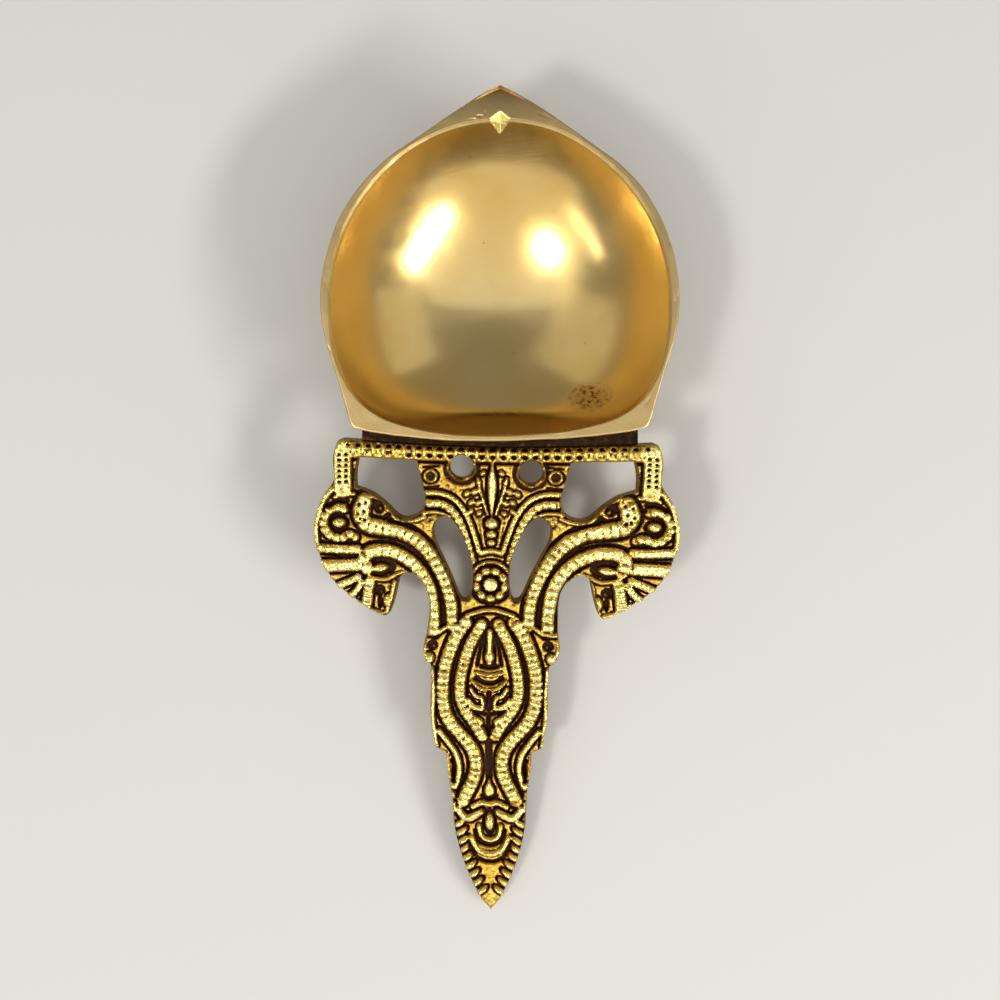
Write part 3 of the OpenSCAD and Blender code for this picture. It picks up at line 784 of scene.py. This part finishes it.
half_outline = joined(
    [[0, 0.1], [15, -0.3], [29.8, -1]],
    [[29.8, -1], [31.3, -0.1], [32.1, 3], [31.8, 6.4], [32.4, 8.2]],
    [[32.4, 8.2], [34.5, 11.4], [35.7, 16], [35.3, 20], [33.8, 24.2], [30.9, 28.2], [25.5, 32], [21.7, 33.9]],
    [[21.7, 33.9], [20.6, 33.5], [19.6, 30.8], [18.6, 26.3]],
    [[18.6, 26.3], [17, 25.2], [15, 26.2], [13.4, 28.6], [12.8, 32], [13, 37], [13.6, 40.4], [13.1, 42.6],
     [11.9, 43.8]],
    [[11.9, 43.8], [11.7, 48.5], [11.8, 53], [11.5, 57], [10.7, 60.8]],
    [[10.7, 60.8], [8.7, 61.6]],
    [[8.7, 61.6], [8.3, 67], [7.6, 71.5], [7.3, 77.8], [6.1, 83.3], [4.3, 88.4], [2.1, 92.8], [0, TAIL_LEN]])
window = joined(
    [[26.6, 2.7], [15, 3.2]],
    [[15, 3.2], [14.1, 7.3], [13.3, 10.3], [14, 13], [16.5, 14.2], [18.5, 13.7], [20.8, 11.6], [23.9, 9.4],
     [27.1, 8.3]],
    [[27.1, 8.3], [27.1, 5.5], [26.6, 2.7]])
slot = smooth_line([[9.6, 14], [11.3, 15.8], [11, 18.8], [9.2, 22.5], [7.3, 26.6], [5.8, 30], [4.3, 30],
                    [3.7, 26.5], [4.1, 22], [5.7, 17.7], [8, 14.6]], 3, closed=True)
turn = np.radians(np.arange(0, 360, 5))
unit_circle = np.stack([np.cos(turn), np.sin(turn)], 1)
outline = np.vstack([half_outline, mirrored(half_outline)])
loops = [cast_loop(outline, np.interp(outline[:, 1], [34, 46], [OUTLINE_SHARE, TAIL_SHARE]))]
loops += [cast_loop(window), cast_loop(mirrored(window)), cast_loop(slot), cast_loop(mirrored(slot))]
loops += [hole_r * unit_circle + [u, v] for u, v, hole_r in drilled_holes]
loops = [evenly(loop, MESH_STEP) for loop in loops]


def inside(points, edges):
    """Even-odd test of points against closed loops, given as arrays of edges."""
    a, b = edges
    found = np.zeros(len(points), bool)
    for start in range(0, len(points), 4000):
        u, v = points[start:start + 4000, :1], points[start:start + 4000, 1:]
        spans = (a[:, 1] > v) != (b[:, 1] > v)
        cross = a[:, 0] + (v - a[:, 1]) / np.where(spans, b[:, 1] - a[:, 1], 1) * (b[:, 0] - a[:, 0])
        found[start:start + 4000] = (spans & (u < cross)).sum(1) % 2 == 1
    return found


def loop_normals(loop):
    """Vectors that point to a loop's left, softened round its corners."""
    way = np.roll(loop, -1, 0) - np.roll(loop, 1, 0)
    way /= np.maximum(np.hypot(*way.T), 1e-9)[:, None]
    way = sum(np.roll(way, i, 0) for i in range(-3, 4)) / 7
    return np.stack([-way[:, 1], way[:, 0]], 1)


def sheet_of(loops, step, keep_off):
    """Triangles that fill the loops, with points about one step apart."""
    edges = np.vstack(loops), np.vstack([np.roll(loop, -1, 0) for loop in loops])
    low, high = edges[0].min(0), edges[0].max(0)
    rows = np.arange(low[1], high[1], step * 0.866)
    columns = np.arange(low[0], high[0], step)
    u, v = np.meshgrid(columns, rows)
    u = u + (np.arange(len(rows)) % 2)[:, None] * step / 2
    points = np.stack([u.ravel(), v.ravel()], 1)
    # a coarse grid of what is near an edge keeps the slow tests few
    near = np.zeros((len(grid_v), len(grid_u)), bool)
    spots = np.vstack([edges[0] + (edges[1] - edges[0]) * t for t in (0, 0.5)])
    row = ((spots[:, 1] - grid_v[0]) / CELL).astype(int)
    column = ((spots[:, 0] - grid_u[0]) / CELL).astype(int)
    near[row, column] = True
    near = blurred(near.astype(float), keep_off) > 1e-9
    row = ((points[:, 1] - grid_v[0]) / CELL).astype(int)
    column = ((points[:, 0] - grid_u[0]) / CELL).astype(int)
    clear = ~near[row, column]
    points = points[clear]
    points = points[inside(points, edges)]
    ends = np.cumsum([len(loop) for loop in loops])
    starts = ends - [len(loop) for loop in loops]
    rims = [(i, i + 1 if i + 1 < e else s) for s, e in zip(starts, ends) for i in range(s, e)]
    everything = np.vstack([*loops, points])
    rim_edges = [tuple(map(int, r)) for r in rims]
    made = delaunay_2d_cdt([Vector(p) for p in everything.tolist()], rim_edges, [], 0, 1e-7)
    # where edges cross, the triangulation adds a point of its own
    crossings = [i for i, ids in enumerate(made[3]) if not ids]
    origin = np.array([ids[0] if ids else 0 for ids in made[3]])
    origin[crossings] = len(everything) + np.arange(len(crossings))
    if crossings:
        everything = np.vstack([everything, np.array([made[0][i] for i in crossings])])
    triangles = origin[np.array(made[2])]
    on_rim = (triangles < ends[-1]).all(1)
    middles = everything[triangles[on_rim]].mean(1)
    keep = np.ones(len(triangles), bool)
    keep[np.flatnonzero(on_rim)] = inside(middles, edges)
    return everything, triangles[keep], list(zip(starts, ends))


def antique_and_shaded_cast_brass():
    """Sand-cast brass: bright where the wire brush reached, brown-black antique tarnish down in the relief,
    deepened there with painted shade.
    """
    material, shader, where = finish("antique_and_shaded_sand_cast_brass", 1.0)
    height = add_node(material, "Attribute", {"attribute_name": "height"}, "Fac")
    recess = add_node(material, "Attribute", {"attribute_name": "recess"}, "Fac")
    grain = add_node(material, "TexNoise", {"Scale": 1 / (0.5 * MM), "Detail": 4.0, "Roughness": 0.7,
                                            "Vector": where})
    cloud = add_node(material, "TexNoise", {"Scale": 1 / (5 * MM), "Detail": 2.0, "Vector": where})
    # colour by height: wire-brushed tops bright, low ground dark with patina and painted shade
    tone = add_node(material, "ValToRGB", {"Fac": height, "stops": [
        (0.0, "#4A2A0A"), (0.22, "#8A6220"), (0.42, "#C29A3E"), (0.75, "#E6C660"), (1.0, "#F6E190")]})
    dulled = add_node(material, "ValToRGB", {"Fac": cloud, "stops": [(0.5, 0.0), (0.75, 0.4)]})
    tone = add_node(material, "Mix", {"data_type": "RGBA", 0: dulled, 6: tone, 7: "#8E6A28"}, 2)
    ragged = add_node(material, "Math", {"operation": "MULTIPLY_ADD", 0: grain, 1: 0.8, 2: recess})
    ragged = add_node(material, "Math", {"operation": "MULTIPLY_ADD", 0: height, 1: -0.32, 2: ragged})
    # patina, with painted shade and dark reflection laid over it down in the recesses
    patina_and_shade = add_node(material, "MapRange", {"Value": ragged, "From Min": 0.68, "From Max": 0.90,
                                             "To Min": 0.0, "To Max": 1.0})
    tone = add_node(material, "Mix", {"data_type": "RGBA", 0: patina_and_shade, 6: tone, 7: "#2C1204"}, 2)
    material.node_tree.links.new(tone, shader.inputs["Base Color"])
    metal = add_node(material, "MapRange", {"Value": patina_and_shade, "To Min": 1.0, "To Max": 0.75})
    material.node_tree.links.new(metal, shader.inputs["Metallic"])
    rough = add_node(material, "MapRange", {"Value": height, "From Min": 0.2, "From Max": 0.8,
                                            "To Min": 0.60, "To Max": 0.26})
    material.node_tree.links.new(rough, shader.inputs["Roughness"])
    bump = add_node(material, "Bump", {"Strength": 0.6, "Distance": 0.14 * MM, "Height": grain})
    material.node_tree.links.new(bump, shader.inputs["Normal"])
    return material


def make_handle():
    # face of the plate, drawn in a little from the outline because the sides have draft
    face_loops = []
    for index, loop in enumerate(loops):
        area = 0.5 * np.sum(loop[:, 0] * np.roll(loop[:, 1], -1) - np.roll(loop[:, 0], -1) * loop[:, 1])
        into_metal = loop_normals(loop) * (1 if area > 0 else -1) * (1 if index == 0 else -1)
        draft = 0.06 if index > 4 else DRAFT
        face_loops.append(loop + into_metal * draft)
    points, triangles, spans = sheet_of(face_loops, MESH_STEP, 0.5 * MESH_STEP)
    rim_points = np.vstack(face_loops)
    u, v = points.T
    z = sampled(relief, u, v)
    edge = np.full(len(points), 9.0)
    for start in range(0, len(points), 4000):
        block = points[start:start + 4000]
        edge[start:start + 4000] = np.sqrt(((block[:, None, 0] - rim_points[None, ::2, 0]) ** 2
                                            + (block[:, None, 1] - rim_points[None, ::2, 1]) ** 2).min(1))
    z = z - 0.35 * np.clip(1 - edge / 0.45, 0, 1) ** 2
    back, back_triangles, _ = sheet_of(loops, 1.0, 0.2)
    n_face, n_rim = len(points), len(rim_points)
    local = [np.stack([u, v, z], 1)]
    faces = [tuple(t) for t in triangles]
    base = n_face
    outer_rim = np.vstack(loops)
    rim_z = z[:n_rim]
    above = 0
    for share in (0.9, 0.7, 0.45, 0.2, 0.06):
        shift = rim_points + (outer_rim - rim_points) * (1 - share)
        level = rim_z * share
        local.append(np.stack([shift[:, 0], shift[:, 1], level], 1))
        for s, e in spans:
            for i in range(s, e):
                j = i + 1 if i + 1 < e else s
                faces.append((above + i, above + j, base + j, base + i))
        above, base = base, base + n_rim
    scar = np.clip(value_noise(np.stack([back[:, 0], back[:, 1], 0 * back[:, 0]], 1), 2.5, 21), 0, 1) * 0.12
    scar[:n_rim] = 0
    local.append(np.stack([back[:, 0], back[:, 1], scar], 1))
    faces += [tuple(t + base) for t in back_triangles]
    for s, e in spans:
        for i in range(s, e):
            j = i + 1 if i + 1 < e else s
            faces.append((above + i, above + j, base + j, base + i))
    local = np.vstack(local)
    world = handle_origin + local[:, :1] * across - local[:, 1:2] * uphill + local[:, 2:] * outward
    height = np.clip((local[:, 2] - FLOOR) / (TOP - FLOOR), 0, 1)
    height[n_face:] = 0.35
    # recess marks how far a point lies down in the relief; it places the patina and the painted shade
    recess = 0.5 + np.clip(sampled(hollow, local[:, 0], local[:, 1]), -0.5, 0.5)
    recess -= 0.12 * np.clip((local[:, 1] - 72) / 12, 0, 1)
    recess[n_face:] = 0.45
    return piece("cast_handle", world, faces, antique_and_shaded_cast_brass(), 62, {"height": height, "recess": recess})


cast_handle = make_handle()
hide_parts("handle_plate")


# ---- Studio ------------------------------------------------------------------------------------------
# Pale card under the lamp, two bright window lights, a thin lamp, a broad ceiling light, two dim walls
# whose light fills the sides of the hollow, and the camera straight above.
def sweep():
    bpy.ops.mesh.primitive_plane_add(size=4.0, location=(0, 0, 0))
    floor = bpy.context.object
    floor.name = "studio_floor"
    material = bpy.data.materials.new("pale_card")
    material.use_nodes = True
    shader = material.node_tree.nodes["Principled BSDF"]
    shader.inputs["Base Color"].default_value = linear("#C2C1BE")
    shader.inputs["Roughness"].default_value = 0.9
    floor.data.materials.append(material)


def soft_light(name, towards, distance, size, power, colour="#FFFCF6"):
    """A rectangular light in a given direction from the bowl, facing it."""
    data = bpy.data.lights.new(name, "AREA")
    data.shape = "RECTANGLE"
    data.size, data.size_y = size
    data.energy = power
    data.color = linear(colour)[:3]
    light = bpy.data.objects.new(name, data)
    bpy.context.scene.collection.objects.link(light)
    way = Vector(towards).normalized()
    light.location = way * distance
    light.rotation_euler = (-way).to_track_quat("-Z", "Y").to_euler()


sweep()
soft_light("window_right", (0.71, -0.47, 0.62), 0.9, (0.46, 0.10), 5.0)
soft_light("window_left", (-0.51, -0.42, 0.84), 0.9, (0.16, 0.13), 3.0)
soft_light("lamp_far_left", (-0.77, -0.46, 0.46), 1.0, (0.42, 0.015), 0.5)
soft_light("ceiling", (0.0, -0.67, 1.0), 2.16, (5.0, 3.8), 40.0)
soft_light("wall_left", (-0.66, 0.40, 0.60), 1.6, (1.4, 1.2), 2.2)
soft_light("wall_right", (0.80, 0.32, 0.50), 1.6, (1.2, 0.9), 1.5)

world = bpy.data.worlds.new("studio")
bpy.context.scene.world = world
world.use_nodes = True
world.node_tree.nodes["Background"].inputs["Color"].default_value = linear("#C6C6C6")
world.node_tree.nodes["Background"].inputs["Strength"].default_value = 0.52
bpy.context.scene.view_settings.view_transform = "Standard"

camera_data = bpy.data.cameras.new("camera")
camera_data.sensor_width = 36.0
camera_data.lens = 43.2
camera = bpy.data.objects.new("camera", camera_data)
camera.location = (0.0, -0.0382, 0.248)
bpy.context.scene.collection.objects.link(camera)
bpy.context.scene.camera = camera
